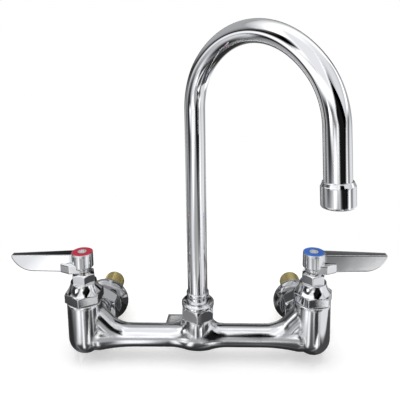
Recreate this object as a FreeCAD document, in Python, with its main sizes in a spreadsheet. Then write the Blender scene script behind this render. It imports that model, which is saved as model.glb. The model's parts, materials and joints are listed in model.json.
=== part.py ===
import FreeCAD, Part
import math
import os
import Sketcher

# Wall-mounted mixer tap with two lever valves and a swinging gooseneck spout.
# Frame: X to the right, Y into the wall, Z up, in millimetres. The origin lies on the wall
# plane, midway between the two supply nipples.

os.makedirs("parts", exist_ok=True)
doc = FreeCAD.newDocument("MixerTap")
sheet = doc.addObject("Spreadsheet::Sheet", "Sizes")


class Length:
    """A size that keeps its number together with the sheet formula it comes from."""

    def __init__(self, formula, number):
        self.formula = formula
        self.number = number

    def __add__(self, other):
        other = as_length(other)
        return Length(f"({self.formula} + {other.formula})", self.number + other.number)

    def __sub__(self, other):
        other = as_length(other)
        return Length(f"({self.formula} - {other.formula})", self.number - other.number)

    def __mul__(self, other):
        other = as_length(other)
        return Length(f"({self.formula} * {other.formula})", self.number * other.number)

    def __truediv__(self, other):
        other = as_length(other)
        return Length(f"({self.formula} / {other.formula})", self.number / other.number)

    def __neg__(self):
        return Length(f"(0 - {self.formula})", -self.number)


def as_length(value):
    """Numbers used beside sizes: halves, doubles and zero."""
    if isinstance(value, Length):
        return value
    return Length(str(value), float(value))


SIZES = {
    # Overall layout
    "inlet_centres": 193.675,  # distance between the supply nipples, 7 5/8 in
    "valve_centres": 203.2,  # distance between the valve axes, 8 in
    "standoff": 60,  # valve axes in front of the wall
    "thread_gap": 0.02,  # radial gap modelled in a tightened thread
    "slide_gap": 0.05,  # radial gap of a running fit
    "face_gap": 0.05,  # gap between flat faces that turn on each other
    "free_gap": 0.4,  # gap around a piece that passes through freely
    # Cast body
    "tube_radius": 10,  # cross tube between the valves
    "tube_bore_radius": 6.8,  # waterway in the cross tube
    "valve_flare_radius": 13.2,  # cross tube where it meets a valve
    "valve_flare_start": 56,  # distance from the middle where the flare begins
    "valve_flare_end": 88,  # distance from the middle where the flare ends
    "valve_flare_bend": 160,  # radius of the flare's hollow curve
    "boss_flare_radius": 12.3,  # cross tube beside the centre boss
    "boss_flare_start": 27,  # distance from the middle where the centre flare begins
    "boss_flare_end": 10,  # distance from the middle where the centre flare ends
    "boss_flare_bend": 52,  # radius of the centre flare's hollow curve
    "boss_belly_bend": 50,  # radius of the rounded belly under the centre boss
    "housing_radius": 15.6,  # valve housing
    "housing_top": 34.4,  # top face of the valve housing
    "boss_radius": 13.1,  # centre boss under the spout nut
    "boss_waist_radius": 12.6,  # centre boss at the tube axis
    "boss_taper_height": 14,  # height where the centre boss reaches full width
    "boss_top": 19.3,  # shoulder of the centre boss
    "boss_neck_radius": 12,  # threaded neck for the spout nut
    "boss_neck_top": 27.2,  # top face of the threaded neck
    "boss_bore_bottom": 4,  # floor of the spout socket
    "boss_arm_start": 21,  # distance from the middle where the tube bends up to the boss
    "boss_arm_bend": 18.2,  # bend of that centre line
    "boss_arm_angle": 88,  # upward turn of that bend in degrees
    "boss_arm_run": 2,  # straight length after that bend
    "boss_arm_radius": 10.2,  # tube in that bend
    "rear_boss_radius": 12.6,  # round boss behind each valve
    "rear_boss_depth": 24,  # rear boss face behind the valve axis
    "arm_radius": 10.05,  # curved arm from the cross tube to the valve
    "arm_start": 61,  # distance from the middle where the arm leaves the tube
    "arm_bend_radius": 31,  # bend of the arm's centre line
    "arm_angle": 48,  # upward turn of the arm in degrees
    "arm_run": 16,  # straight length of the arm after its bend
    "arm_bore_angle": 40,  # upward turn of the waterway in degrees
    "arm_bore_run": 14,  # straight length of the waterway after its bend
    "arm_bore_radius": 5.6,  # waterway in the arm
    "lug_left_end": 30.5,  # left end of the rear lug from the middle
    "lug_right_end": 7,  # right end of the rear lug from the middle
    "lug_back": 21,  # back face of the rear lug behind the tube axis
    "lug_top": 7.2,  # top face of the rear lug
    "lug_bottom": 0.6,  # underside of the rear lug
    "lug_slant": 1.6,  # slant of the rear lug's left end
    # Valve chambers in the body
    "inlet_chamber_radius": 9.2,  # chamber under the seat
    "inlet_chamber_bottom": 9.4,  # depth of the chamber under the tube axis
    "web_bottom": 6.2,  # underside of the seat web
    "web_top": 11.6,  # top of the seat web
    "chamber_radius": 10.4,  # chamber above the seat
    "bonnet_thread_radius": 12.2,  # thread for the bonnet
    "bonnet_thread_bottom": 25,  # bottom of the bonnet thread
    "seat_thread_radius": 6.5,  # thread of the removable seat
    "inlet_bore_radius": 5.8,  # waterway in the rear boss
    "tail_thread_radius": 9.6,  # thread of the inlet tail
    "tail_thread_depth": 9,  # length of the inlet tail's thread
    # Seat, washer and stem
    "seat_bore_radius": 4.1,  # waterway of the seat
    "seat_flange_radius": 8.2,  # flange of the seat
    "seat_flange_height": 1.4,  # flange thickness
    "seat_lip_radius": 5.6,  # raised lip that the washer closes
    "seat_lip_height": 1.0,  # height of the lip
    "washer_radius": 7.4,  # seat washer
    "washer_thickness": 3.6,  # seat washer thickness
    "washer_hole_radius": 2.2,  # hole for the washer screw
    "closed_gap": 0.05,  # washer over the lip with the valve closed
    "carrier_radius": 8.6,  # cup that holds the seat washer
    "carrier_floor": 2.0,  # cup floor over the washer
    "carrier_skirt": 2.4,  # cup wall down the side of the washer
    "carrier_socket_depth": 4.6,  # socket for the stem's button
    "carrier_lip": 1.2,  # rolled lip over the stem's button
    "button_radius": 4.6,  # button at the foot of the stem
    "button_neck_radius": 3.2,  # neck above the button
    "button_neck_length": 1.2,  # neck that shows above the holder
    "washer_screw_radius": 1.9,  # washer screw shank
    "washer_screw_head_radius": 3.3,  # washer screw head
    "washer_screw_head": 1.6,  # washer screw head height
    "washer_screw_length": 6.0,  # washer screw shank length
    "screw_slot_width": 0.8,  # slot in a screw head
    "screw_slot_depth": 0.8,  # depth of the slot
    "stem_thread_radius": 6.0,  # lifting thread of the stem
    "stem_rise_room": 3.5,  # room left over the lifting thread when the stem is up
    "stem_radius": 4.5,  # smooth stem through the packing
    "stem_square": 6.4,  # square of the stem in the handle
    "stem_lift": 1.6,  # rise of the stem in a quarter turn
    "stem_screw_hole_radius": 2.0,  # hole for the handle screw
    # Bonnet, packing and packing nut
    "gasket_thickness": 0.8,  # bonnet gasket
    "gasket_radius": 14.6,  # bonnet gasket
    "bonnet_turn_left": 27,  # left bonnet's tightened angle in degrees
    "bonnet_turn_right": 7,  # right bonnet's tightened angle in degrees
    "bonnet_flats": 30.2,  # bonnet hexagon across flats
    "bonnet_hex_height": 8.2,  # bonnet hexagon height
    "bonnet_bevel": 0.7,  # bevel on the hexagon's upper corners
    "bonnet_dome_bend": 20,  # radius of the dome's rounded side
    "bonnet_top": 52.4,  # top face of the bonnet, under the packing nut
    "bonnet_top_radius": 11.4,  # radius of that face
    "bonnet_skirt_bottom": 26.5,  # bottom of the bonnet's threaded skirt
    "bonnet_skirt_bore_radius": 9.4,  # hollow of the skirt around the washer cup
    "bonnet_skirt_ceiling": 33,  # top of that hollow
    "stem_thread_top": 46,  # top of the bonnet's lifting thread
    "packing_chamber_radius": 7.8,  # chamber of the packing ring
    "packing_height": 4.4,  # packing ring
    "packing_nut_flats": 18.8,  # packing nut across flats
    "packing_nut_height": 9.6,  # packing nut hexagon
    "packing_nut_turn_left": 48.6,  # left packing nut's tightened angle in degrees
    "packing_nut_turn_right": 16.4,  # right packing nut's tightened angle in degrees
    "packing_nut_crown_radius": 7.3,  # flat top of the packing nut inside its sloping crown
    "packing_nut_crown": 2.3,  # height of that crown at the corners
    "hex_chamfer": 1.6,  # bevel of the large hexagons
    # Handles
    "hub_radius": 9.4,  # handle hub
    "hub_bottom": 66.6,  # lower edge of the hub's full width
    "hub_neck_bottom": 62.7,  # bottom face of the hub's neck
    "hub_neck_top": 65.2,  # top of the hub's neck
    "hub_neck_radius": 6.9,  # neck of the hub
    "hub_top": 79.4,  # top rim of the hub
    "ring_recess": 1.5,  # depth of the index ring's recess
    "ring_radius": 9.0,  # index ring
    "ring_rise": 0.5,  # index ring above the rim
    "ring_hole_radius": 4.3,  # hole of the index ring
    "screw_seat": 3.0,  # depth of the handle screw's seat
    "handle_screw_head_radius": 3.9,  # handle screw head
    "handle_screw_radius": 1.9,  # handle screw shank
    "handle_screw_length": 9,  # handle screw shank length
    "handle_screw_dome": 1.0,  # rise of the screw head's dome
    "lever_length": 62.4,  # valve axis to the tip of the lever
    "lever_top_root": 78.6,  # top edge of the lever at the hub
    "lever_top_tip": 77.2,  # top edge of the lever at the tip
    "lever_bottom": 63.0,  # lower edge of the lever
    "lever_root_rise": 1.6,  # lower edge under the hub above that
    "lever_curve_start": 42,  # where the lower edge begins to curve up
    "lever_nose": 1.8,  # height of the blunt tip
    "lever_root_thick": 10,  # lever thickness at the hub
    "lever_tip_thick": 5.6,  # lever thickness at the tip
    "root_end": 18.5,  # outer end of the lever's root block
    "root_wide_end": 10,  # where the root block is widest
    "root_width": 17.0,  # width of the root block
    "root_top": 70,  # top of the root block
    "root_bottom": 62.4,  # underside of the root block
    # Inlets
    "tail_radius": 9.6,  # inlet tail tube
    "tail_bore_radius": 6.2,  # inlet tail waterway
    "tail_collar_radius": 13.4,  # collar that the coupling nut pulls on
    "tail_collar_thickness": 3.2,  # collar thickness
    "coupling_washer_thickness": 2.0,  # coupling washer
    "coupling_washer_hole_radius": 8.2,  # coupling washer hole
    "coupling_flats": 38.1,  # coupling nut across flats, 1 1/2 in
    "coupling_height": 16,  # coupling nut length
    "coupling_back": 10.4,  # coupling nut back face in front of the wall
    "coupling_turn": 30,  # tightened angle of the coupling nuts in degrees
    "union_radius": 14.2,  # threaded hub of the wall flange
    "union_front": 19.4,  # front face of the hub in front of the wall
    "flange_radius": 22.4,  # wall flange
    "flange_rim": 1.8,  # rim thickness of the wall flange
    "flange_front_radius": 17,  # front face of the wall flange
    "flange_depth": 9.8,  # depth of the wall flange
    "flange_bend": 12,  # rounding of the wall flange
    "flange_bore_radius": 6.2,  # waterway of the wall flange
    "nipple_radius": 10.67,  # supply nipple, 1/2 in pipe
    "nipple_bore_radius": 7.9,  # bore of the supply nipple
    "nipple_length": 48.6,  # supply nipple
    "nipple_depth": 9.2,  # nipple screwed into the wall flange
    "nipple_screwed_radius": 10.3,  # tapered thread of the nipple inside the flange
    "nipple_step": 0.5,  # full size of the nipple begins behind the flange's back face
    "nipple_bevel": 0.9,  # bevel at both ends of the nipple
    "nipple_mouth": 0.4,  # flange bore beyond the nipple at its bevelled mouth
    "nipple_mouth_depth": 0.8,  # depth of that bevelled mouth
    # Spout
    "spout_angle": 51.27,  # spout swung to the right of the wall's normal, from X in degrees
    "spout_radius": 8.7,  # gooseneck tube
    "spout_bore_radius": 7.6,  # gooseneck bore
    "spout_foot": 21,  # lower end of the gooseneck tube
    "spring_height": 205.7,  # height where the arch begins
    "spout_half_span": 71.4,  # half the distance between the legs
    "arch_rise": 61.6,  # height of the arch's centre line
    "haunch_radius": 54,  # bend at both sides of the arch
    "leg_tilt": 3.55,  # outlet leg leaning outward in degrees
    "leg_length": 41.3,  # straight outlet leg down to the end of the tube
    "sleeve_bore_foot": 7.4,  # lower bore of the spout base
    "sleeve_radius": 10.15,  # spout base in its socket
    "sleeve_foot": 5.2,  # lower face of the spout base
    "sleeve_upper_radius": 9.25,  # spout base above its flange
    "sleeve_flange_radius": 11.6,  # flange of the spout base
    "sleeve_flange_height": 1.9,  # thickness of that flange
    "sleeve_top": 42.8,  # top of the spout base
    "sleeve_rim_height": 2.9,  # raised rim at the top of the spout base
    "sleeve_rim_radius": 9.9,  # raised rim radius
    "thrust_thickness": 1.2,  # plastic thrust rings
    "ring_groove_low": 8.6,  # centre of the lower seal groove
    "ring_groove_high": 14.4,  # centre of the upper seal groove
    "groove_width": 2.2,  # width of a seal groove
    "groove_radius": 8.6,  # floor of a seal groove
    "seal_section": 0.78,  # radius of a seal ring's section
    "spout_nut_flats": 27,  # spout nut across flats
    "spout_nut_turn": 30,  # tightened angle of the spout nut in degrees
    "spout_nut_bevel_radius": 13.9,  # where the bevel of the hexagon's corners begins
    "spout_nut_bevel": 3.4,  # height of that bevel at the corners
    "spout_nut_bottom": 19.8,  # underside of the spout nut
    "spout_nut_hex_top": 29.8,  # where the round band above the hexagon begins
    "spout_nut_band_radius": 14.3,  # round band above the hexagon
    "spout_nut_band_slope": 0.9,  # height of the sloping underside of that band
    "spout_nut_round_radius": 1.5,  # rounding of the nut's upper edge
    "spout_nut_top": 34.6,  # top of the spout nut
    "spout_nut_hole_radius": 10.7,  # inner end of the nut's dished top
    "spout_nut_dish": 0.8,  # depth of the dished top
    # Outlet
    "ferrule_radius": 9.4,  # threaded ferrule on the outlet end
    "ferrule_length": 6.2,  # ferrule length
    "outlet_radius": 10.75,  # outlet housing
    "outlet_length": 16,  # outlet housing from shoulder to rim
    "outlet_shoulder": 2.6,  # sloping shoulder of the outlet housing
    "outlet_edge": 0.8,  # width of the shoulder's top edge
    "outlet_rounding": 1.6,  # rounding of the outlet's lower edge
    "outlet_mouth_radius": 7.6,  # mouth of the outlet
    "outlet_lip": 1.5,  # inward lip that holds the insert
    "outlet_washer_thickness": 1.6,  # outlet washer
    "insert_length": 4.0,  # flow straightener
    "insert_hub_radius": 1.6,  # hub of the flow straightener
    "insert_rim": 1.1,  # rim wall of the flow straightener
    "insert_vane": 0.9,  # vane thickness
    "vane_count": 8,  # vanes of the flow straightener
}


class Table:
    """The named sizes of the tap, each one a cell of the sheet."""

    def __init__(self, sizes):
        for row, (name, number) in enumerate(sizes.items(), 1):
            sheet.set(f"A{row}", name)
            sheet.set(f"B{row}", str(number))
            sheet.setAlias(f"B{row}", name)
            setattr(self, name, Length(f"Sizes.{name}", float(number)))


d = Table(SIZES)
doc.recompute()

FLAT_TO_CORNER = Length("(1 / cos(30 deg))", 1 / math.cos(math.radians(30)))
SIDES = (("left", -1), ("right", 1))
pieces = []


def bind(item, prop, size):
    item.setExpression(prop, as_length(size).formula)


def new_body(name):
    body = doc.addObject("PartDesign::Body", name)
    body.Label = name
    return body


def origin_part(body, role):
    """An origin plane or axis of the body."""
    return next(f for f in body.Origin.OriginFeatures if f.Role == role)


def new_sketch(body, name, role, lift=None):
    """A sketch on one of the body's origin planes, moved along its normal by lift."""
    sketch = body.newObject("Sketcher::SketchObject", name)
    sketch.AttachmentSupport = [(origin_part(body, role), "")]
    sketch.MapMode = "FlatFace"
    if lift is not None:
        bind(sketch, "AttachmentOffset.Base.z", lift)
    return sketch


def fix_point(sketch, geometry, end, across, up):
    """Ties one point of the sketch to the sheet, measured from the sketch's origin."""
    for kind, size in (("DistanceX", across), ("DistanceY", up)):
        size = as_length(size)
        index = sketch.addConstraint(Sketcher.Constraint(kind, geometry, end, size.number))
        sketch.setExpression(f"Constraints[{index}]", size.formula)


def arc_between(start, finish, radius, side):
    """The shorter arc from start to finish; side is 1 when it bulges to the left of the way."""
    chord = finish - start
    middle = (start + finish) * 0.5
    height = math.sqrt(max(radius ** 2 - (chord.Length / 2) ** 2, 0))
    normal = FreeCAD.Vector(-chord.y, chord.x, 0).normalize()
    centre = middle - normal * side * height
    first = math.atan2(start.y - centre.y, start.x - centre.x)
    last = math.atan2(finish.y - centre.y, finish.x - centre.x)
    if side > 0:
        first, last = last, first
    circle = Part.Circle(centre, FreeCAD.Vector(0, 0, 1), radius)
    return Part.ArcOfCircle(circle, first, last)


def outline(sketch, points, closed=True):
    """Lines and arcs through the points. A point is (across, up), or (across, up, radius,
    side) when an arc leads from it to the next one."""
    ends = []
    for point in points:
        ends.append(FreeCAD.Vector(as_length(point[0]).number, as_length(point[1]).number, 0))
    count = len(points) if closed else len(points) - 1
    joins = []
    for i in range(count):
        start = ends[i]
        finish = ends[(i + 1) % len(ends)]
        point = points[i]
        if len(point) == 2:
            line = sketch.addGeometry(Part.LineSegment(start, finish), False)
            joins.append((line, 1, 2))
            continue
        radius = as_length(point[2])
        arc = sketch.addGeometry(arc_between(start, finish, radius.number, point[3]), False)
        joins.append((arc, 2, 1) if point[3] > 0 else (arc, 1, 2))
        index = sketch.addConstraint(Sketcher.Constraint("Radius", arc, radius.number))
        sketch.setExpression(f"Constraints[{index}]", radius.formula)
    for i in range(count):
        follower = (i + 1) % count
        if closed or i + 1 < count:
            here = joins[i]
            there = joins[follower]
            sketch.addConstraint(
                Sketcher.Constraint("Coincident", here[0], here[2], there[0], there[1])
            )
    for i in range(count):
        fix_point(sketch, joins[i][0], joins[i][1], points[i][0], points[i][1])
    if not closed:
        last = points[-1]
        fix_point(sketch, joins[-1][0], joins[-1][2], last[0], last[1])


def spin(body, name, points, kind="Revolution", axis="V_Axis", role="XZ_Plane"):
    """Turns an outline of (radius, height) points about the body's axis."""
    sketch = new_sketch(body, f"{name}_outline", role)
    outline(sketch, points)
    feature = body.newObject(f"PartDesign::{kind}", name)
    feature.Profile = sketch
    feature.ReferenceAxis = (sketch, [axis])
    feature.Angle = 360
    return feature


def hexagon(body, name, flats, height, lift):
    """A hexagonal prism across flats, from lift upwards."""
    prism = body.newObject("PartDesign::AdditivePrism", name)
    prism.AttachmentSupport = [(origin_part(body, "XY_Plane"), "")]
    prism.MapMode = "FlatFace"
    bind(prism, "AttachmentOffset.Base.z", lift)
    prism.Polygon = 6
    bind(prism, "Circumradius", as_length(flats) / 2 * FLAT_TO_CORNER)
    bind(prism, "Height", height)
    return prism


def bevel_hexagon(body, name, flats, top, bevel, upward=1, start=None):
    """Slopes one end of a hexagon down to its corners, from its flats or from a start radius."""
    start = start or as_length(flats) / 2
    corner = as_length(flats) / 2 * FLAT_TO_CORNER
    outside = corner + d.free_gap
    drop = (outside - start) * (as_length(bevel) / (corner - start))
    edge = top - drop if upward > 0 else top + drop
    spin(body, name, [(start, top), (outside, top), (outside, edge)], "Groove")


def place(item, x=0, y=0, z=0, rotation=None):
    """Puts a finished piece where it belongs in the tap."""
    item.Placement = FreeCAD.Placement(
        FreeCAD.Vector(as_length(x).number, as_length(y).number, as_length(z).number),
        rotation or FreeCAD.Rotation(),
    )
    bind(item, "Placement.Base.x", x)
    bind(item, "Placement.Base.y", y)
    bind(item, "Placement.Base.z", z)
    pieces.append(item)


UPRIGHT = FreeCAD.Vector(0, 0, 1)
TO_WALL = FreeCAD.Rotation(UPRIGHT, FreeCAD.Vector(0, 1, 0))
TO_SPOUT = FreeCAD.Rotation(UPRIGHT, -d.spout_angle.number)


def pad(body, name, role, points, length, lift=None, symmetric=False, kind="Pad"):
    """Pushes an outline out along the plane's normal."""
    sketch = new_sketch(body, f"{name}_outline", role, lift)
    outline(sketch, points)
    feature = body.newObject(f"PartDesign::{kind}", name)
    feature.Profile = sketch
    bind(feature, "Length", length)
    if symmetric:
        feature.Midplane = True
    return feature


def round_pad(body, name, role, centre, radius, length, kind="Pad", reversed_way=False, lift=None):
    """A round boss or bore of one radius, along the plane's normal."""
    sketch = new_sketch(body, f"{name}_circle", role, lift)
    middle = FreeCAD.Vector(as_length(centre[0]).number, as_length(centre[1]).number, 0)
    radius = as_length(radius)
    circle = Part.Circle(middle, FreeCAD.Vector(0, 0, 1), radius.number)
    index = sketch.addGeometry(circle, False)
    tie = sketch.addConstraint(Sketcher.Constraint("Radius", index, radius.number))
    sketch.setExpression(f"Constraints[{tie}]", radius.formula)
    fix_point(sketch, index, 3, centre[0], centre[1])
    feature = body.newObject(f"PartDesign::{kind}", name)
    feature.Profile = sketch
    bind(feature, "Length", length)
    feature.Reversed = reversed_way
    return feature


def turn_beside(body, name, offset, points, kind="Revolution"):
    """Turns an outline about a vertical axis that stands beside the body's own axis."""
    sketch = new_sketch(body, f"{name}_outline", "XZ_Plane")
    moved = [(offset + point[0],) + tuple(point[1:]) for point in points]
    outline(sketch, moved)
    low = FreeCAD.Vector(offset.number, 0, 0)
    high = FreeCAD.Vector(offset.number, d.standoff.number, 0)
    axis = sketch.addGeometry(Part.LineSegment(low, high), True)
    fix_point(sketch, axis, 1, offset, 0)
    fix_point(sketch, axis, 2, offset, d.standoff)
    feature = body.newObject(f"PartDesign::{kind}", name)
    feature.Profile = sketch
    feature.ReferenceAxis = (sketch, ["Axis0"])
    feature.Angle = 360
    return feature


def arm_path(body, name, start, way, bend, turn, run):
    """Centre line of an arm that leaves the cross tube level and bends upwards."""
    angle = math.radians(turn.number)
    sine = Length(f"sin({turn.formula} * 1 deg)", math.sin(angle))
    cosine = Length(f"cos({turn.formula} * 1 deg)", math.cos(angle))
    bend_x = bend * sine
    bend_z = bend - bend * cosine
    end_x = bend_x + as_length(run) * cosine
    end_z = bend_z + as_length(run) * sine
    sketch = new_sketch(body, name, "XZ_Plane")
    points = [
        (start, 0, bend, -way),
        (start + bend_x * way, bend_z),
        (start + end_x * way, end_z),
    ]
    outline(sketch, points, closed=False)
    return sketch


def arm_sweep(body, name, start, way, bend, turn, run, radius, kind="AdditivePipe"):
    """Sweeps a circle along the arm's centre line."""
    path = arm_path(body, f"{name}_path", start, way, bend, turn, run)
    circle = new_sketch(body, f"{name}_circle", "YZ_Plane", start)
    radius = as_length(radius)
    ring = Part.Circle(FreeCAD.Vector(0, 0, 0), FreeCAD.Vector(0, 0, 1), radius.number)
    index = circle.addGeometry(ring, False)
    tie = circle.addConstraint(Sketcher.Constraint("Radius", index, radius.number))
    circle.setExpression(f"Constraints[{tie}]", radius.formula)
    fix_point(circle, index, 3, 0, 0)
    feature = body.newObject(f"PartDesign::{kind}", name)
    feature.Profile = circle
    feature.Spine = path
    return feature


def make_mixer_body():
    """The cast body: cross tube, two valve housings, centre boss, rear bosses and waterways."""
    body = new_body("mixer_body")
    half = d.valve_centres / 2
    spin(body, "cross_tube", [
        (-half, 0),
        (-half, d.valve_flare_radius),
        (-d.valve_flare_end, d.valve_flare_radius, d.valve_flare_bend, -1),
        (-d.valve_flare_start, d.tube_radius),
        (-d.boss_flare_start, d.tube_radius, d.boss_flare_bend, -1),
        (-d.boss_flare_end, d.boss_flare_radius, d.boss_belly_bend, 1),
        (d.boss_flare_end, d.boss_flare_radius, d.boss_flare_bend, -1),
        (d.boss_flare_start, d.tube_radius),
        (d.valve_flare_start, d.tube_radius, d.valve_flare_bend, -1),
        (d.valve_flare_end, d.valve_flare_radius),
        (half, d.valve_flare_radius),
        (half, 0),
    ], axis="H_Axis")
    spin(body, "centre_boss", [
        (0, 0),
        (d.boss_waist_radius, 0),
        (d.boss_radius, d.boss_taper_height),
        (d.boss_radius, d.boss_top),
        (d.boss_neck_radius, d.boss_top),
        (d.boss_neck_radius, d.boss_neck_top),
        (0, d.boss_neck_top),
    ])
    for side, sign in SIDES:
        offset = half * sign
        turn_beside(body, f"housing_{side}", offset, [
            (0, -d.housing_radius, d.housing_radius, -1),
            (d.housing_radius, 0),
            (d.housing_radius, d.housing_top),
            (0, d.housing_top),
        ])
        round_pad(body, f"rear_boss_{side}", "XZ_Plane", (offset, 0), d.rear_boss_radius,
                  d.rear_boss_depth, reversed_way=True)
        arm_sweep(body, f"arm_{side}", d.arm_start * sign, sign, d.arm_bend_radius,
                  d.arm_angle, d.arm_run, d.arm_radius)
        arm_sweep(body, f"boss_arm_{side}", d.boss_arm_start * sign, -sign,
                  d.boss_arm_bend, d.boss_arm_angle, d.boss_arm_run, d.boss_arm_radius)
    pad(body, "rear_lug", "XY_Plane", [
        (-d.lug_left_end, 0),
        (-d.lug_right_end, 0),
        (-d.lug_right_end, d.lug_back),
        (d.lug_slant - d.lug_left_end, d.lug_back),
    ], d.lug_top - d.lug_bottom, lift=d.lug_bottom)
    spin(body, "spout_socket", [
        (0, d.boss_bore_bottom),
        (d.sleeve_radius + d.slide_gap, d.boss_bore_bottom),
        (d.sleeve_radius + d.slide_gap, d.boss_neck_top + d.free_gap),
        (0, d.boss_neck_top + d.free_gap),
    ], "Groove")
    spin(body, "cross_waterway", [
        (-d.arm_start, 0),
        (-d.arm_start, d.tube_bore_radius),
        (d.arm_start, d.tube_bore_radius),
        (d.arm_start, 0),
    ], "Groove", axis="H_Axis")
    for side, sign in SIDES:
        offset = half * sign
        arm_sweep(body, f"arm_waterway_{side}", d.arm_start * sign, sign,
                  d.arm_bend_radius, d.arm_bore_angle, d.arm_bore_run, d.arm_bore_radius,
                  "SubtractivePipe")
        turn_beside(body, f"valve_bore_{side}", offset, [
            (0, -d.inlet_chamber_bottom),
            (d.inlet_chamber_radius, -d.inlet_chamber_bottom),
            (d.inlet_chamber_radius, d.web_bottom),
            (d.seat_thread_radius + d.thread_gap, d.web_bottom),
            (d.seat_thread_radius + d.thread_gap, d.web_top),
            (d.chamber_radius, d.web_top),
            (d.chamber_radius, d.bonnet_thread_bottom),
            (d.bonnet_thread_radius, d.bonnet_thread_bottom),
            (d.bonnet_thread_radius, d.housing_top + d.free_gap),
            (0, d.housing_top + d.free_gap),
        ], "Groove")
        round_pad(body, f"inlet_waterway_{side}", "XZ_Plane", (offset, 0),
                  d.inlet_bore_radius, d.rear_boss_depth, kind="Pocket")
        round_pad(body, f"tail_thread_{side}", "XZ_Plane", (offset, 0),
                  d.tail_thread_radius + d.thread_gap, d.tail_thread_depth, kind="Pocket",
                  lift=-(d.rear_boss_depth - d.tail_thread_depth))
    place(body, 0, -d.standoff, 0)


def valve_heights():
    """Heights of the pieces stacked in a closed valve, all from the seat web upwards."""
    seat_top = d.web_top + d.seat_flange_height + d.seat_lip_height
    washer_bottom = seat_top + d.closed_gap
    washer_top = washer_bottom + d.washer_thickness
    socket_floor = washer_top + d.carrier_floor
    socket_top = socket_floor + d.carrier_socket_depth
    thread_bottom = socket_top + d.button_neck_length
    return seat_top, washer_bottom, washer_top, socket_floor, socket_top, thread_bottom


def make_seat(side, x):
    """Removable seat screwed into the web, with a hexagonal key hole."""
    seat_top = valve_heights()[0]
    body = new_body(f"valve_seat_{side}")
    spin(body, "seat_turning", [
        (d.seat_bore_radius, d.web_bottom),
        (d.seat_thread_radius, d.web_bottom),
        (d.seat_thread_radius, d.web_top),
        (d.seat_flange_radius, d.web_top),
        (d.seat_flange_radius, d.web_top + d.seat_flange_height),
        (d.seat_lip_radius, seat_top),
        (d.seat_bore_radius, seat_top),
    ])
    place(body, x, -d.standoff, 0)


def make_washer(side, x):
    """Soft seat washer."""
    washer_bottom, washer_top = valve_heights()[1:3]
    body = new_body(f"seat_washer_{side}")
    spin(body, "washer_ring", [
        (d.washer_hole_radius, washer_bottom),
        (d.washer_radius, washer_bottom),
        (d.washer_radius, washer_top),
        (d.washer_hole_radius, washer_top),
    ])
    place(body, x, -d.standoff, 0)


def make_washer_screw(side, x):
    """Slotted screw that holds the washer in its cup."""
    washer_bottom = valve_heights()[1]
    body = new_body(f"washer_screw_{side}")
    spin(body, "screw_turning", [
        (0, washer_bottom - d.washer_screw_head),
        (d.washer_screw_head_radius, washer_bottom - d.washer_screw_head),
        (d.washer_screw_head_radius, washer_bottom),
        (d.washer_screw_radius, washer_bottom),
        (d.washer_screw_radius, washer_bottom + d.washer_screw_length),
        (0, washer_bottom + d.washer_screw_length),
    ])
    slot(body, washer_bottom - d.washer_screw_head, d.washer_screw_head_radius, 1)
    place(body, x, -d.standoff, 0)


def slot(body, face, radius, way):
    """A straight screwdriver slot cut into a round face; way is 1 when it cuts upwards."""
    long_side = radius * 2
    half = d.screw_slot_width / 2
    points = [
        (-long_side, -half),
        (long_side, -half),
        (long_side, half),
        (-long_side, half),
    ]
    cut = pad(body, "slot", "XY_Plane", points, d.screw_slot_depth, lift=face, kind="Pocket")
    cut.Reversed = way > 0


def make_carrier(side, x):
    """Cup that carries the washer up and down and swivels on the stem's button."""
    washer_top, floor, top = valve_heights()[2:5]
    body = new_body(f"washer_holder_{side}")
    cavity_top = top - d.carrier_lip
    spin(body, "cup_turning", [
        (d.washer_screw_radius + d.thread_gap, washer_top),
        (d.washer_radius + d.thread_gap, washer_top),
        (d.washer_radius + d.thread_gap, washer_top - d.carrier_skirt),
        (d.carrier_radius, washer_top - d.carrier_skirt),
        (d.carrier_radius, top),
        (d.button_neck_radius + d.free_gap, top),
        (d.button_neck_radius + d.free_gap, cavity_top),
        (d.button_radius + d.slide_gap, cavity_top),
        (d.button_radius + d.slide_gap, floor),
        (d.washer_screw_radius + d.thread_gap, floor),
    ])
    place(body, x, -d.standoff, 0)


def make_stem(side, x):
    """Stem: button, lifting thread, smooth shaft and the square under the handle."""
    floor, top, thread_bottom = valve_heights()[3:6]
    screw_tip = d.hub_top - d.screw_seat - d.handle_screw_length
    stem_top = d.hub_top - d.screw_seat - d.free_gap
    button_bottom = floor + d.face_gap
    button_top = top - d.carrier_lip - d.face_gap
    thread_top = d.stem_thread_top - d.stem_lift - d.stem_rise_room
    screw_end = valve_heights()[1] + d.washer_screw_length
    body = new_body(f"valve_stem_{side}")
    spin(body, "stem_turning", [
        (0, screw_end + d.free_gap),
        (d.washer_screw_radius + d.free_gap, screw_end + d.free_gap),
        (d.washer_screw_radius + d.free_gap, button_bottom),
        (d.button_radius, button_bottom),
        (d.button_radius, button_top),
        (d.button_neck_radius, button_top),
        (d.button_neck_radius, thread_bottom),
        (d.stem_thread_radius, thread_bottom),
        (d.stem_thread_radius, thread_top),
        (d.stem_radius, thread_top + d.free_gap),
        (d.stem_radius, d.hub_neck_top),
        (0, d.hub_neck_top),
    ])
    half = d.stem_square / 2
    pad(body, "stem_square_end", "XY_Plane", [
        (-half, -half),
        (half, -half),
        (half, half),
        (-half, half),
    ], stem_top - d.hub_neck_top + d.free_gap, lift=d.hub_neck_top - d.free_gap)
    spin(body, "screw_hole", [
        (0, screw_tip - d.free_gap),
        (d.stem_screw_hole_radius, screw_tip - d.free_gap),
        (d.stem_screw_hole_radius, stem_top + d.free_gap),
        (0, stem_top + d.free_gap),
    ], "Groove")
    place(body, x, -d.standoff, 0)


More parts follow.
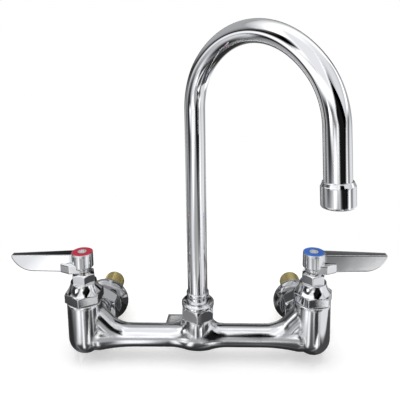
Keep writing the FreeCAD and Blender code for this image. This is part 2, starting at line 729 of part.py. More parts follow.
def make_bonnet(side, x):
    """Hexagon bonnet with a domed top, screwed into the housing over its gasket."""
    body = new_body(f"bonnet_{side}")
    hex_bottom = d.housing_top + d.gasket_thickness
    hex_top = hex_bottom + d.bonnet_hex_height
    hexagon(body, "bonnet_hexagon", d.bonnet_flats, d.bonnet_hex_height, hex_bottom)
    bevel_hexagon(body, "hexagon_bevel", d.bonnet_flats, hex_top, d.bonnet_bevel)
    spin(body, "bonnet_turning", [
        (0, d.bonnet_skirt_bottom),
        (d.bonnet_thread_radius - d.thread_gap, d.bonnet_skirt_bottom),
        (d.bonnet_thread_radius - d.thread_gap, hex_bottom),
        (d.bonnet_flats / 2 - d.free_gap, hex_bottom),
        (d.bonnet_flats / 2, hex_top, d.bonnet_dome_bend, 1),
        (d.bonnet_top_radius, d.bonnet_top),
        (0, d.bonnet_top),
    ])
    spin(body, "bonnet_bore", [
        (0, d.bonnet_skirt_bottom - d.free_gap),
        (d.bonnet_skirt_bore_radius, d.bonnet_skirt_bottom - d.free_gap),
        (d.bonnet_skirt_bore_radius, d.bonnet_skirt_ceiling),
        (d.stem_thread_radius + d.slide_gap, d.bonnet_skirt_ceiling),
        (d.stem_thread_radius + d.slide_gap, d.stem_thread_top),
        (d.packing_chamber_radius + d.thread_gap, d.stem_thread_top),
        (d.packing_chamber_radius + d.thread_gap, d.bonnet_top + d.free_gap),
        (0, d.bonnet_top + d.free_gap),
    ], "Groove")
    turn = d.bonnet_turn_left if side == "left" else d.bonnet_turn_right
    place(body, x, -d.standoff, 0, FreeCAD.Rotation(UPRIGHT, turn.number))


def make_gasket(side, x):
    """Flat gasket between the housing and the bonnet."""
    body = new_body(f"bonnet_gasket_{side}")
    spin(body, "gasket_ring", [
        (d.bonnet_thread_radius + d.thread_gap, d.housing_top),
        (d.gasket_radius, d.housing_top),
        (d.gasket_radius, d.housing_top + d.gasket_thickness),
        (d.bonnet_thread_radius + d.thread_gap, d.housing_top + d.gasket_thickness),
    ])
    place(body, x, -d.standoff, 0)


def make_packing(side, x):
    """Packing ring squeezed around the stem."""
    body = new_body(f"packing_ring_{side}")
    spin(body, "packing_turning", [
        (d.stem_radius + d.slide_gap, d.stem_thread_top),
        (d.packing_chamber_radius, d.stem_thread_top),
        (d.packing_chamber_radius, d.stem_thread_top + d.packing_height),
        (d.stem_radius + d.slide_gap, d.stem_thread_top + d.packing_height),
    ])
    place(body, x, -d.standoff, 0)


def make_packing_nut(side, x):
    """Small hexagon nut that presses on the packing ring."""
    body = new_body(f"packing_nut_{side}")
    top = d.bonnet_top + d.packing_nut_height
    hexagon(body, "nut_hexagon", d.packing_nut_flats, d.packing_nut_height, d.bonnet_top)
    bevel_hexagon(body, "nut_crown", d.packing_nut_flats, top, d.packing_nut_crown,
                  start=d.packing_nut_crown_radius)
    spin(body, "nut_thread", [
        (0, d.stem_thread_top + d.packing_height),
        (d.packing_chamber_radius, d.stem_thread_top + d.packing_height),
        (d.packing_chamber_radius, d.bonnet_top),
        (0, d.bonnet_top),
    ])
    spin(body, "nut_bore", [
        (0, d.stem_thread_top + d.packing_height - d.free_gap),
        (d.stem_radius + d.free_gap, d.stem_thread_top + d.packing_height - d.free_gap),
        (d.stem_radius + d.free_gap, top + d.free_gap),
        (0, top + d.free_gap),
    ], "Groove")
    turn = d.packing_nut_turn_left if side == "left" else d.packing_nut_turn_right
    place(body, x, -d.standoff, 0, FreeCAD.Rotation(UPRIGHT, turn.number))


def make_handle(side, x):
    """Lever handle: round hub, widening root block and a thin upright blade."""
    body = new_body(f"lever_handle_{side}")
    spin(body, "hub", [
        (0, d.hub_neck_bottom),
        (d.hub_neck_radius, d.hub_neck_bottom),
        (d.hub_neck_radius, d.hub_neck_top),
        (d.hub_radius, d.hub_bottom),
        (d.hub_radius, d.hub_top),
        (0, d.hub_top),
    ])
    tip = d.lever_length
    pad(body, "blade", "XZ_Plane", [
        (0, d.lever_bottom + d.lever_root_rise),
        (d.hub_neck_radius, d.lever_bottom + d.lever_root_rise),
        (d.root_end, d.lever_bottom),
        (d.lever_curve_start, d.lever_bottom, tip - d.lever_curve_start, -1),
        (tip, d.lever_top_tip - d.lever_nose),
        (tip, d.lever_top_tip),
        (d.hub_radius, d.lever_top_root),
        (0, d.lever_top_root),
    ], d.lever_root_thick, symmetric=True)
    for way in (1, -1):
        face = d.lever_root_thick / 2 * way
        edge = d.lever_tip_thick / 2 * way
        outside = d.lever_root_thick * way
        cut = pad(body, f"taper_{'front' if way < 0 else 'back'}", "XY_Plane", [
            (d.root_wide_end, face),
            (tip + d.free_gap, edge),
            (tip + d.free_gap, outside),
            (d.root_wide_end, outside),
        ], d.hub_top - d.hub_neck_bottom, lift=d.hub_neck_bottom, kind="Pocket")
        cut.Reversed = True
    half = d.root_width / 2
    thin = d.lever_root_thick / 2 - d.free_gap
    pad(body, "root_block", "XY_Plane", [
        (0, -half),
        (d.root_wide_end, -half),
        (d.root_end, -thin),
        (d.root_end, thin),
        (d.root_wide_end, half),
        (0, half),
    ], d.root_top - d.root_bottom, lift=d.root_bottom)
    spin(body, "ring_recess", [
        (0, d.hub_top - d.ring_recess),
        (d.ring_radius + d.thread_gap, d.hub_top - d.ring_recess),
        (d.ring_radius + d.thread_gap, d.hub_top + d.free_gap),
        (0, d.hub_top + d.free_gap),
    ], "Groove")
    spin(body, "screw_seat", [
        (0, d.hub_top - d.screw_seat),
        (d.handle_screw_head_radius + d.thread_gap, d.hub_top - d.screw_seat),
        (d.handle_screw_head_radius + d.thread_gap, d.hub_top),
        (0, d.hub_top),
    ], "Groove")
    spin(body, "stem_hole", [
        (0, d.hub_neck_bottom - d.free_gap),
        (d.stem_radius + d.thread_gap, d.hub_neck_bottom - d.free_gap),
        (d.stem_radius + d.thread_gap, d.hub_neck_top),
        (0, d.hub_neck_top),
    ], "Groove")
    side_half = d.stem_square / 2 + d.thread_gap
    square = pad(body, "square_hole", "XY_Plane", [
        (-side_half, -side_half),
        (side_half, -side_half),
        (side_half, side_half),
        (-side_half, side_half),
    ], d.hub_top - d.hub_neck_bottom, lift=d.hub_neck_bottom, kind="Pocket")
    square.Reversed = True
    angle = 180 if side == "left" else 0
    place(body, x, -d.standoff, 0, FreeCAD.Rotation(UPRIGHT, angle))


def make_index_ring(side, x):
    """Coloured ring around the handle screw, red for hot and blue for cold."""
    body = new_body(f"index_ring_{side}")
    bottom = d.hub_top - d.ring_recess
    top = d.hub_top + d.ring_rise
    spin(body, "ring_turning", [
        (d.ring_hole_radius, bottom),
        (d.ring_radius, bottom),
        (d.ring_radius, d.hub_top),
        (d.ring_radius - d.ring_rise, top),
        (d.ring_hole_radius, top),
    ])
    place(body, x, -d.standoff, 0)


def make_handle_screw(side, x):
    """Domed, slotted screw that holds the handle on the stem."""
    body = new_body(f"handle_screw_{side}")
    seat = d.hub_top - d.screw_seat
    edge = d.hub_top + d.ring_rise
    spin(body, "screw_turning", [
        (0, seat - d.handle_screw_length),
        (d.handle_screw_radius, seat - d.handle_screw_length),
        (d.handle_screw_radius, seat),
        (d.handle_screw_head_radius, seat),
        (d.handle_screw_head_radius, edge, d.hub_radius, 1),
        (0, edge + d.handle_screw_dome),
    ])
    slot(body, edge + d.handle_screw_dome, d.handle_screw_head_radius, -1)
    place(body, x, -d.standoff, 0)


def make_inlet_tail(side, x):
    """Tube screwed into the rear boss, with the collar that the coupling nut pulls on."""
    body = new_body(f"inlet_tail_{side}")
    front = d.rear_boss_depth - d.tail_thread_depth - d.standoff
    face = -d.union_front - d.coupling_washer_thickness
    spin(body, "tail_turning", [
        (d.tail_bore_radius, front),
        (d.tail_radius, front),
        (d.tail_radius, face - d.tail_collar_thickness),
        (d.tail_collar_radius, face - d.tail_collar_thickness),
        (d.tail_collar_radius, face),
        (d.tail_bore_radius, face),
    ])
    place(body, x, 0, 0, TO_WALL)


def make_coupling_washer(side, x):
    """Flat washer between the inlet tail and the wall flange."""
    body = new_body(f"coupling_washer_{side}")
    back = -d.union_front
    spin(body, "washer_ring", [
        (d.coupling_washer_hole_radius, back - d.coupling_washer_thickness),
        (d.tail_collar_radius, back - d.coupling_washer_thickness),
        (d.tail_collar_radius, back),
        (d.coupling_washer_hole_radius, back),
    ])
    place(body, x, 0, 0, TO_WALL)


def make_coupling_nut(side, x):
    """Large hexagon nut that joins the body to the wall flange."""
    body = new_body(f"coupling_nut_{side}")
    back = -d.coupling_back
    front = back - d.coupling_height
    collar = -d.union_front - d.coupling_washer_thickness - d.tail_collar_thickness
    hexagon(body, "nut_hexagon", d.coupling_flats, d.coupling_height, front)
    bevel_hexagon(body, "back_bevel", d.coupling_flats, back, d.hex_chamfer)
    bevel_hexagon(body, "front_bevel", d.coupling_flats, front, d.hex_chamfer, upward=-1)
    spin(body, "nut_bore", [
        (0, front - d.free_gap),
        (d.tail_radius + d.free_gap, front - d.free_gap),
        (d.tail_radius + d.free_gap, collar),
        (d.union_radius + d.thread_gap, collar),
        (d.union_radius + d.thread_gap, back + d.free_gap),
        (0, back + d.free_gap),
    ], "Groove")
    place(body, x, 0, 0, TO_WALL.multiply(FreeCAD.Rotation(UPRIGHT, d.coupling_turn.number)))


def make_wall_flange(side, x, inlet_x, sign):
    """Eccentric wall flange: its thread for the nipple sits beside the union hub's axis."""
    body = new_body(f"wall_flange_{side}")
    shift = (d.valve_centres - d.inlet_centres) / 2 * sign
    spin(body, "flange_turning", [
        (0, -d.flange_depth),
        (d.flange_front_radius, -d.flange_depth, d.flange_bend, 1),
        (d.flange_radius, -d.flange_rim),
        (d.flange_radius, 0),
        (0, 0),
    ])
    round_pad(body, "union_hub", "XY_Plane", (shift, 0), d.union_radius,
              d.union_front - d.flange_depth + d.free_gap, lift=-d.union_front)
    round_pad(body, "hub_waterway", "XY_Plane", (shift, 0), d.flange_bore_radius,
              d.union_front - d.nipple_depth + d.free_gap, kind="Pocket", reversed_way=True,
              lift=-d.union_front)
    thread = d.nipple_screwed_radius + d.thread_gap
    mouth = d.nipple_radius + d.nipple_mouth
    spin(body, "nipple_thread", [
        (0, -d.nipple_depth),
        (thread, -d.nipple_depth),
        (thread, -d.nipple_mouth_depth),
        (mouth, 0),
        (mouth, d.free_gap),
        (0, d.free_gap),
    ], "Groove")
    place(body, inlet_x, 0, 0, TO_WALL)


def make_nipple(side, x):
    """Half-inch brass nipple: screwed into the flange and reaching back into the wall."""
    body = new_body(f"supply_nipple_{side}")
    front = -d.nipple_depth
    back = front + d.nipple_length
    spin(body, "nipple_turning", [
        (d.nipple_bore_radius, front),
        (d.nipple_screwed_radius - d.nipple_bevel, front),
        (d.nipple_screwed_radius, front + d.nipple_bevel),
        (d.nipple_screwed_radius, d.nipple_step),
        (d.nipple_radius, d.nipple_step),
        (d.nipple_radius, back - d.nipple_bevel),
        (d.nipple_radius - d.nipple_bevel, back),
        (d.nipple_bore_radius, back),
    ])
    place(body, x, 0, 0, TO_WALL)


def spout_line():
    """Corner points of the gooseneck's centre line in its own upright plane."""
    half = d.spout_half_span
    crown_radius = (half * half + d.arch_rise * d.arch_rise - half * d.haunch_radius * 2) / (
        (d.arch_rise - d.haunch_radius) * 2
    )
    crown_drop = d.arch_rise - crown_radius
    centre_gap = crown_radius - d.haunch_radius
    sine = (half - d.haunch_radius) / centre_gap
    cosine = -crown_drop / centre_gap
    meet_x = crown_radius * sine
    meet_z = d.spring_height + crown_drop + crown_radius * cosine
    tilt = math.radians(d.leg_tilt.number)
    tilt_sine = Length("sin(Sizes.leg_tilt * 1 deg)", math.sin(tilt))
    tilt_cosine = Length("cos(Sizes.leg_tilt * 1 deg)", math.cos(tilt))
    bend_x = half * 2 - d.haunch_radius + d.haunch_radius * tilt_cosine
    bend_z = d.spring_height + d.haunch_radius * tilt_sine
    end_x = bend_x + d.leg_length * tilt_sine
    end_z = bend_z - d.leg_length * tilt_cosine
    points = [
        (0, d.spout_foot),
        (0, d.spring_height, d.haunch_radius, 1),
        (half - meet_x, meet_z, crown_radius, 1),
        (half + meet_x, meet_z, d.haunch_radius, 1),
        (bend_x, bend_z),
        (end_x, end_z),
    ]
    return points


def make_spout():
    """Bent gooseneck tube of one wall thickness."""
    body = new_body("gooseneck_tube")
    path = new_sketch(body, "centre_line", "XZ_Plane")
    outline(path, spout_line(), closed=False)
    for name, radius, kind in (
        ("tube_outside", d.spout_radius, "AdditivePipe"),
        ("tube_bore", d.spout_bore_radius, "SubtractivePipe"),
    ):
        circle = new_sketch(body, f"{name}_circle", "XY_Plane", d.spout_foot)
        ring = Part.Circle(FreeCAD.Vector(0, 0, 0), FreeCAD.Vector(0, 0, 1), radius.number)
        index = circle.addGeometry(ring, False)
        tie = circle.addConstraint(Sketcher.Constraint("Radius", index, radius.number))
        circle.setExpression(f"Constraints[{tie}]", radius.formula)
        fix_point(circle, index, 3, 0, 0)
        feature = body.newObject(f"PartDesign::{kind}", name)
        feature.Profile = circle
        feature.Spine = path
    place(body, 0, -d.standoff, 0, TO_SPOUT)


def thrust_heights():
    """Heights of the pieces that hold the spout down, from the neck's top face upwards."""
    lower = d.boss_neck_top
    flange_bottom = lower + d.thrust_thickness + d.face_gap
    flange_top = flange_bottom + d.sleeve_flange_height
    upper = flange_top + d.face_gap
    return lower, flange_bottom, flange_top, upper


def make_sleeve():
    """Turned base soldered to the gooseneck, with two seal grooves and a flange."""
    flange_bottom, flange_top = thrust_heights()[1:3]
    body = new_body("spout_base")
    rim = d.sleeve_top - d.sleeve_rim_height
    groove = d.groove_width / 2
    spin(body, "base_turning", [
        (d.sleeve_bore_foot, d.sleeve_foot),
        (d.sleeve_radius, d.sleeve_foot),
        (d.sleeve_radius, d.ring_groove_low - groove),
        (d.groove_radius, d.ring_groove_low - groove),
        (d.groove_radius, d.ring_groove_low + groove),
        (d.sleeve_radius, d.ring_groove_low + groove),
        (d.sleeve_radius, d.ring_groove_high - groove),
        (d.groove_radius, d.ring_groove_high - groove),
        (d.groove_radius, d.ring_groove_high + groove),
        (d.sleeve_radius, d.ring_groove_high + groove),
        (d.sleeve_radius, flange_bottom),
        (d.sleeve_flange_radius, flange_bottom),
        (d.sleeve_flange_radius, flange_top),
        (d.sleeve_upper_radius, flange_top),
        (d.sleeve_upper_radius, rim),
        (d.sleeve_rim_radius, rim),
        (d.sleeve_rim_radius, d.sleeve_top - d.free_gap),
        (d.sleeve_rim_radius - d.free_gap, d.sleeve_top),
        (d.spout_radius + d.thread_gap, d.sleeve_top),
        (d.spout_radius + d.thread_gap, d.spout_foot),
        (d.sleeve_bore_foot, d.spout_foot),
    ])
    place(body, 0, -d.standoff, 0)


def make_seal_ring(name, height):
    """Rubber ring in a groove of the spout base."""
    body = new_body(name)
    torus = body.newObject("PartDesign::AdditiveTorus", "ring")
    torus.AttachmentSupport = [(origin_part(body, "XY_Plane"), "")]
    torus.MapMode = "FlatFace"
    bind(torus, "AttachmentOffset.Base.z", height)
    bind(torus, "Radius1", d.groove_radius + d.seal_section)
    bind(torus, "Radius2", d.seal_section)
    place(body, 0, -d.standoff, 0)


def make_thrust_ring(name, bottom, inner, outer):
    """Plastic ring that the spout base turns against."""
    body = new_body(name)
    spin(body, "ring_turning", [
        (inner, bottom),
        (outer, bottom),
        (outer, bottom + d.thrust_thickness),
        (inner, bottom + d.thrust_thickness),
    ])
    place(body, 0, -d.standoff, 0)


def make_spout_nut():
    """Hexagon nut with a round band and a dished top that holds the spout in its socket."""
    body = new_body("spout_nut")
    upper = thrust_heights()[3]
    ceiling = upper + d.thrust_thickness
    height = d.spout_nut_hex_top - d.spout_nut_bottom
    hexagon(body, "nut_hexagon", d.spout_nut_flats, height, d.spout_nut_bottom)
    bevel_hexagon(body, "top_bevel", d.spout_nut_flats, d.spout_nut_hex_top,
                  d.spout_nut_bevel, start=d.spout_nut_bevel_radius)
    edge = d.spout_nut_round_radius
    spin(body, "nut_band", [
        (0, d.spout_nut_hex_top),
        (d.spout_nut_flats / 2, d.spout_nut_hex_top),
        (d.spout_nut_band_radius, d.spout_nut_hex_top + d.spout_nut_band_slope),
        (d.spout_nut_band_radius, d.spout_nut_top - edge, edge, 1),
        (d.spout_nut_band_radius - edge, d.spout_nut_top),
        (d.spout_nut_hole_radius, d.spout_nut_top - d.spout_nut_dish),
        (0, d.spout_nut_top - d.spout_nut_dish),
    ])
    spin(body, "nut_bore", [
        (0, d.spout_nut_bottom - d.free_gap),
        (d.boss_neck_radius + d.thread_gap, d.spout_nut_bottom - d.free_gap),
        (d.boss_neck_radius + d.thread_gap, ceiling),
        (d.sleeve_upper_radius + d.free_gap, ceiling),
        (d.sleeve_upper_radius + d.free_gap, d.spout_nut_top + d.free_gap),
        (0, d.spout_nut_top + d.free_gap),
    ], "Groove")
    place(body, 0, -d.standoff, 0, FreeCAD.Rotation(UPRIGHT, d.spout_nut_turn.number))


def place_on_outlet(body):
    """Puts an outlet piece, drawn upwards from the tube's end, on the tilted outlet leg."""
    end_x, end_z = spout_line()[-1]
    turn = FreeCAD.Rotation(FreeCAD.Vector(0, 1, 0), -d.leg_tilt.number)
    swing_sine = Length(
        "sin(Sizes.spout_angle * 1 deg)", math.sin(math.radians(d.spout_angle.number))
    )
    swing_cosine = Length(
        "cos(Sizes.spout_angle * 1 deg)", math.cos(math.radians(d.spout_angle.number))
    )
    place(body, end_x * swing_cosine, -d.standoff - end_x * swing_sine, end_z,
          TO_SPOUT.multiply(turn))


def make_ferrule():
    """Threaded ferrule on the end of the gooseneck."""
    body = new_body("outlet_ferrule")
    spin(body, "ferrule_turning", [
        (d.spout_radius + d.thread_gap, 0),
        (d.ferrule_radius, 0),
        (d.ferrule_radius, d.ferrule_length),
        (d.spout_radius + d.thread_gap, d.ferrule_length),
    ])
    place_on_outlet(body)


def outlet_levels():
    """Levels of the outlet pieces below the end of the tube."""
    washer_bottom = -d.outlet_washer_thickness
    insert_bottom = washer_bottom - d.insert_length
    rim = insert_bottom - d.outlet_lip
    return washer_bottom, insert_bottom, rim


def make_outlet_housing():
    """Round outlet housing screwed over the ferrule, with a sloping shoulder."""
    body = new_body("outlet_housing")
    insert_bottom, rim = outlet_levels()[1:]
    top = rim + d.outlet_length
    bore = d.ferrule_radius + d.thread_gap
    spin(body, "housing_turning", [
        (d.outlet_mouth_radius, rim),
        (d.outlet_radius - d.outlet_rounding, rim, d.outlet_rounding, -1),
        (d.outlet_radius, rim + d.outlet_rounding),
        (d.outlet_radius, top - d.outlet_shoulder),
        (d.spout_radius + d.outlet_edge, top),
        (d.spout_radius + d.thread_gap, top),
        (d.spout_radius + d.thread_gap, d.ferrule_length + d.thread_gap),
        (bore, d.ferrule_length + d.thread_gap),
        (bore, insert_bottom),
        (d.outlet_mouth_radius, insert_bottom),
    ])
    place_on_outlet(body)


def make_outlet_washer():
    """Washer between the tube's end and the flow straightener."""
    body = new_body("outlet_washer")
    washer_bottom = outlet_levels()[0]
    spin(body, "washer_ring", [
        (d.spout_bore_radius - d.free_gap, washer_bottom),
        (d.ferrule_radius, washer_bottom),
        (d.ferrule_radius, 0),
        (d.spout_bore_radius - d.free_gap, 0),
    ])
    place_on_outlet(body)


def make_insert():
    """Flow straightener: a rim, a hub and radial vanes."""
    body = new_body("flow_straightener")
    washer_bottom, insert_bottom = outlet_levels()[:2]
    inner = d.ferrule_radius - d.insert_rim
    spin(body, "rim_ring", [
        (inner, insert_bottom),
        (d.ferrule_radius, insert_bottom),
        (d.ferrule_radius, washer_bottom),
        (inner, washer_bottom),
    ])
    half = d.insert_vane / 2
    vane = pad(body, "vane", "XY_Plane", [
        (0, -half),
        (inner + d.free_gap, -half),
        (inner + d.free_gap, half),
        (0, half),
    ], d.insert_length, lift=insert_bottom)
    around = body.newObject("PartDesign::PolarPattern", "vanes")
    around.Originals = [vane]
    around.Axis = (origin_part(body, "Z_Axis"), [""])
    around.Angle = 360
    around.Occurrences = int(d.vane_count.number)
    body.Tip = around
    hub = round_pad(body, "hub", "XY_Plane", (0, 0), d.insert_hub_radius, d.insert_length,
                    lift=insert_bottom)
    body.Tip = hub
    place_on_outlet(body)


make_mixer_body()
for side, sign in SIDES:
    valve_x = d.valve_centres / 2 * sign
    inlet_x = d.inlet_centres / 2 * sign
    make_seat(side, valve_x)
    make_washer(side, valve_x)
    make_washer_screw(side, valve_x)
    make_carrier(side, valve_x)
    make_stem(side, valve_x)
    make_bonnet(side, valve_x)
    make_gasket(side, valve_x)
    make_packing(side, valve_x)
    make_packing_nut(side, valve_x)
    make_handle(side, valve_x)
    make_index_ring(side, valve_x)
    make_handle_screw(side, valve_x)
    make_inlet_tail(side, valve_x)
    make_coupling_washer(side, valve_x)
    make_coupling_nut(side, valve_x)
    make_wall_flange(side, valve_x, inlet_x, sign)
    make_nipple(side, inlet_x)

make_spout()
make_sleeve()
make_seal_ring("spout_seal_lower", d.ring_groove_low)
make_seal_ring("spout_seal_upper", d.ring_groove_high)
make_thrust_ring("thrust_ring_lower", thrust_heights()[0],
                 d.sleeve_radius + d.free_gap, d.boss_neck_radius - d.thread_gap)
make_thrust_ring("thrust_ring_upper", thrust_heights()[3],
                 d.sleeve_upper_radius + d.free_gap, d.boss_neck_radius - d.thread_gap)
make_spout_nut()
make_ferrule()
make_outlet_housing()
make_outlet_washer()
make_insert()

doc.recompute()
for item in doc.Objects:
    for fault in ("Invalid", "Error"):
        if fault in item.State:
            raise RuntimeError(f"{item.Name} is {item.State}")
for piece in pieces:
    if piece.Shape.isNull() or not piece.Shape.isValid():
        raise RuntimeError(f"{piece.Label} has a faulty shape")
    piece.Shape.exportStep(f"parts/{piece.Label}.step")
    print(piece.Label, round(piece.Shape.Volume, 1), len(piece.Shape.Solids))
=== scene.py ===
# %% [markdown]
# # A wall-mounted mixer tap
# This notebook dresses a tap that was first built as a CAD model. Nearly all of it is mirror
# chrome, so the lesson is mostly about what chrome needs: smooth forms, a finish that is not
# quite perfect, and a studio worth reflecting.
#
# The first step loads the CAD model. The dressed tap keeps its pieces, so it keeps
# the same size.

# %% Load the imported model
import bpy
import json
import math
from mathutils import Matrix, Vector


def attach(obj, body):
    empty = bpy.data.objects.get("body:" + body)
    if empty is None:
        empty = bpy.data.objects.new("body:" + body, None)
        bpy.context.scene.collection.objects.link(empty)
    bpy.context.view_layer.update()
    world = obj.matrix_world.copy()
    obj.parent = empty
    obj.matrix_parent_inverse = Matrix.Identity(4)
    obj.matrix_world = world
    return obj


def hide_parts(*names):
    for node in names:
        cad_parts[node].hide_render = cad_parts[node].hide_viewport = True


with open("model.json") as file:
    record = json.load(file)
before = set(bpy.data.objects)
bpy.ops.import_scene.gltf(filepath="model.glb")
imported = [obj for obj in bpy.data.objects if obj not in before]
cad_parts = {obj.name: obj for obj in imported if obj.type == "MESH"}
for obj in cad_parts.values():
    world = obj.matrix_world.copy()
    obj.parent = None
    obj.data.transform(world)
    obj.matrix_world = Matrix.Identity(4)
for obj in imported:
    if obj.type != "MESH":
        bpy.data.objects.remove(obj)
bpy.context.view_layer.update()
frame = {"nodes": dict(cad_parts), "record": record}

nodes = frame["nodes"]

# %% [markdown]
# ## Camera
# The tap is seen from a little right of its middle, from nearly the height of the spout's top.
# A camera that looks steeply down would make the upright tubes lean together. This one is
# nearly level and its picture is shifted instead, as a product photographer does to keep
# upright tubes upright. A camera's own axes are right, up and backwards, so the three
# directions below become the columns of its turning matrix.

# %% Camera at the photograph's angle
PICTURE_SIDE = 400.0
FOCAL_PIXELS = 471.58
AXIS_ROW = 120.0
SENSOR_WIDTH = 36.0
NEAREST, FARTHEST = 0.01, 50.0
EYE = Vector((0.01787, -0.44898, 0.25882))
PITCH_DOWN, ROLL, YAW = 0.1593, -0.0144, -0.035


def put_in_scene(thing):
    """Links a new object to the scene and hands it back."""
    bpy.context.scene.collection.objects.link(thing)
    return thing


ahead = Vector((
    math.sin(YAW) * math.cos(PITCH_DOWN),
    math.cos(YAW) * math.cos(PITCH_DOWN),
    -math.sin(PITCH_DOWN),
))
level_right = Vector((math.cos(YAW), -math.sin(YAW), 0.0))
level_down = ahead.cross(level_right)
picture_right = level_right * math.cos(ROLL) - level_down * math.sin(ROLL)
picture_down = level_right * math.sin(ROLL) + level_down * math.cos(ROLL)

lens = bpy.data.cameras.new("camera")
lens.sensor_width = SENSOR_WIDTH
lens.lens = FOCAL_PIXELS / PICTURE_SIDE * SENSOR_WIDTH
lens.shift_y = (AXIS_ROW - PICTURE_SIDE / 2) / PICTURE_SIDE
lens.clip_start, lens.clip_end = NEAREST, FARTHEST
camera = put_in_scene(bpy.data.objects.new("camera", lens))
turning = Matrix((picture_right, -picture_down, -ahead)).transposed().to_4x4()
camera.matrix_world = Matrix.Translation(EYE) @ turning
bpy.context.scene.camera = camera
print("lens", round(lens.lens, 2), "mm, shift", round(lens.shift_y, 3))

# %% [markdown]
# ## Writing shader maths as Python
# A material is a graph of nodes. Placed one by one they are hard to read, so `Wire` wraps one
# output socket and gives it operators: `wire * 0.5 + other` adds the Math nodes by itself. The
# reflected forms make `1 - mask` work too.

# %% Wire: an output socket with arithmetic
class Wire:
    """One output socket, with arithmetic."""

    def __init__(self, graph, socket):
        self.graph = graph
        self.socket = socket

    def maths(self, operation, *others, first=None):
        """Adds a Math node; first goes before this wire, others after it."""
        inputs = [self, *others] if first is None else [first, self, *others]
        node = self.graph.node("ShaderNodeMath", {"operation": operation})
        for slot, value in zip(node.raw.inputs, inputs):
            self.graph.feed(slot, value)
        return node["Value"]

    def __add__(self, other):
        return self.maths("ADD", other)

    def __mul__(self, other):
        return self.maths("MULTIPLY", other)

    def __rsub__(self, other):
        return self.maths("SUBTRACT", first=other)

    __radd__ = __add__
    __rmul__ = __mul__

    def smooth(self, low, high):
        """Runs smoothly from 0 at low to 1 at high."""
        ramp = self.graph.node("ShaderNodeMapRange", {"interpolation_type": "SMOOTHSTEP"},
                               {"Value": self, "From Min": low, "From Max": high})
        return ramp["Result"]


print("Wire adds its Math nodes by itself")

# %% [markdown]
# ## Any other node in one call
# Materials, the world and Geometry Nodes are all trees. `Tree.node` adds a node of any type:
# its settings come first, because they can change its sockets, and then the values or wires
# that go into those sockets. One method for all of them keeps every graph below short.

# %% Tree: nodes by type, settings and inputs
class Outputs:
    """The outputs of a node, by name or number, as wires."""

    def __init__(self, graph, node):
        self.graph = graph
        self.raw = node

    def __getitem__(self, name):
        return Wire(self.graph, self.raw.outputs[name])


class Tree:
    """A node tree that is being written."""

    def feed(self, socket, value):
        """Links a wire to a socket, or sets a plain value on it."""
        if isinstance(value, Wire):
            self.tree.links.new(value.socket, socket)
        elif value is not None:
            socket.default_value = value

    def node(self, kind, settings=None, inputs=None):
        """Adds a node and hands back its outputs. Inputs go by name or number."""
        made = self.tree.nodes.new(kind)
        for name, value in (settings or {}).items():
            setattr(made, name, value)
        for name, value in (inputs or {}).items():
            self.feed(made.inputs[name], value)
        return Outputs(self, made)


print("Tree.node adds any other node")

# %% [markdown]
# ## The tree of a material
# Every finish of the tap needs the same few things: a place on the surface, noise, a blend of
# two colours, a bump and a shader at the end. The place is the Object coordinate, which is the
# CAD frame itself, so a pattern stays put on its piece when the piece moves.

# %% Finish: a material's tree
MIX_AMOUNT, MIX_FIRST, MIX_SECOND, MIX_RESULT = 0, 6, 7, 2


class Finish(Tree):
    """The node tree of a material or of the world."""

    def __init__(self, name, owner=None):
        self.block = owner or bpy.data.materials.new(name)
        self.block.use_nodes = True
        self.tree = self.block.node_tree
        self.tree.nodes.clear()

    def place(self):
        """Object coordinates in metres: the CAD frame itself."""
        return self.node("ShaderNodeTexCoord")["Object"]

    def noise(self, scale, detail=2.0, stretch=(1.0, 1.0, 1.0), roughness=0.5):
        """Noise between 0 and 1; scale is in patches per metre."""
        mapped = self.node("ShaderNodeMapping", None, {"Vector": self.place(), "Scale": stretch})
        made = self.node("ShaderNodeTexNoise", None, {
            "Vector": mapped["Vector"], "Scale": scale, "Detail": detail,
            "Roughness": roughness,
        })
        return made["Fac"]

    def blend(self, amount, first, second):
        """Mixes two colours by amount. The Mix node's colour sockets go by number."""
        mix = self.node("ShaderNodeMix", {"data_type": "RGBA"}, {
            MIX_AMOUNT: amount, MIX_FIRST: (*first, 1.0), MIX_SECOND: (*second, 1.0),
        })
        return mix[MIX_RESULT]

    def bump(self, height, depth, after=None):
        """Raises the surface by height, where 1 is depth in metres."""
        made = self.node("ShaderNodeBump", None, {
            "Height": height, "Strength": 1.0, "Distance": depth, "Normal": after,
        })
        return made["Normal"]

    def layer(self, amount, under, over):
        """Mixes two shaders: 0 shows the one under, 1 the one over it."""
        return self.node("ShaderNodeMixShader", None, {0: amount, 1: under, 2: over})["Shader"]

    def end(self, shader):
        """Ends the material in this shader."""
        self.node("ShaderNodeOutputMaterial", None, {"Surface": shader})
        return self.block

    def surface(self, **inputs):
        """Ends the material in one Principled shader."""
        values = {name.replace("_", " "): value for name, value in inputs.items()}
        return self.end(self.node("ShaderNodeBsdfPrincipled", None, values)["BSDF"])


print("Finish writes a material")

# %% [markdown]
# ## Chrome
# Plated chrome takes its whole look from what it reflects. It is metal with a bright, faintly
# cool tint. A perfect mirror would be simpler, and would look like a drawing: real hand
# polishing leaves a cast body gently uneven, fingers leave faint dull patches, and fine swirls
# lie over everything. Each of these is one noise, and each stays small.
#
# Real castings also have no sharp corners. Rounding them all in the mesh would take many faces,
# so a Bevel node turns the light over each corner instead, widely on the cast body and
# narrowly on turned pieces. The pressed wall flanges get a much darker tint, which is painted
# shade for the shadow and dark reflections they sit in, and the handle screws a dull plate.

# %% Chrome finishes
COOLER = (0.965, 0.975, 0.99)
SMUDGE_DULLING, SWIRL_DULLING = 0.02, 0.012
EDGE_SAMPLES = 8


